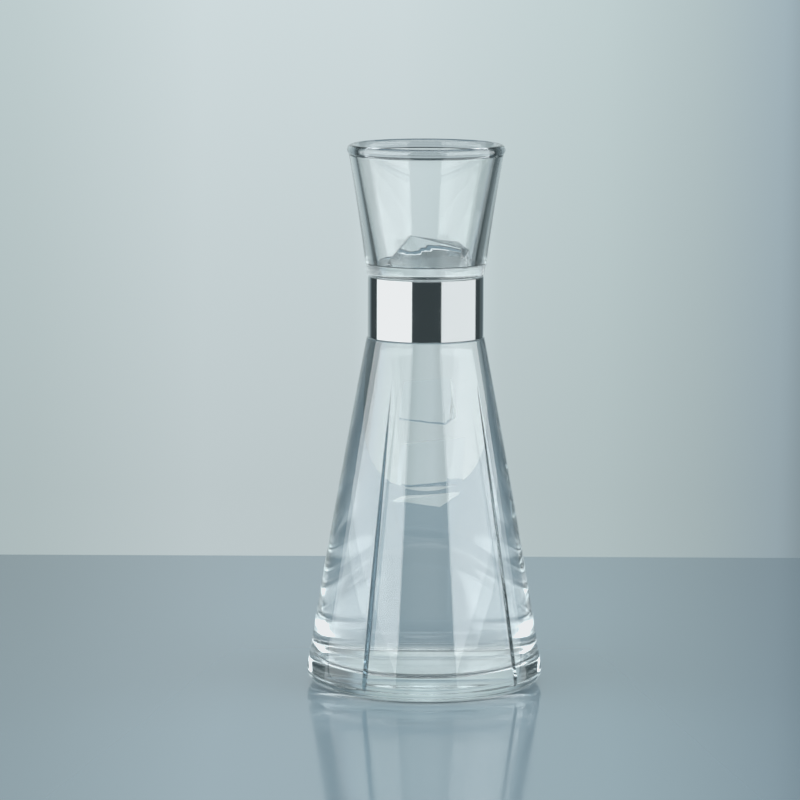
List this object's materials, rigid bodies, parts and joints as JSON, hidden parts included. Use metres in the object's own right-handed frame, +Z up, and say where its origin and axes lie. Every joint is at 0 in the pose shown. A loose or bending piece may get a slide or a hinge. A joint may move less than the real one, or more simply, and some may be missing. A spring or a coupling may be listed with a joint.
{
  "type": "water carafe",
  "caption": "Hourglass water carafe in heavy clear glass: tapered grooved body, flared mouth and a polished steel collar bonded round its waist.",
  "frame": {"origin": "middle of the foot, on the surface that the carafe stands on", "axes": "+Z up along the vessel's axis; the two front grooves are on the -Y side and the collar's seam is at the back, on +Y"},
  "size_m": [0.109, 0.109, 0.25],
  "materials": {
    "clear_glass": "fire-polished clear glass with a faint cool tint",
    "polished_steel": "mirror-polished stainless steel with fine wiping marks",
    "clear_silicone": "smooth translucent silicone",
    "plain_steel": "mill-finished stainless strip"
  },
  "bodies": {
    "root": {"glass_vessel": "clear_glass", "steel_collar": "polished_steel", "collar_liner": "clear_silicone", "collar_splice": "plain_steel"}
  },
  "joints": []
}
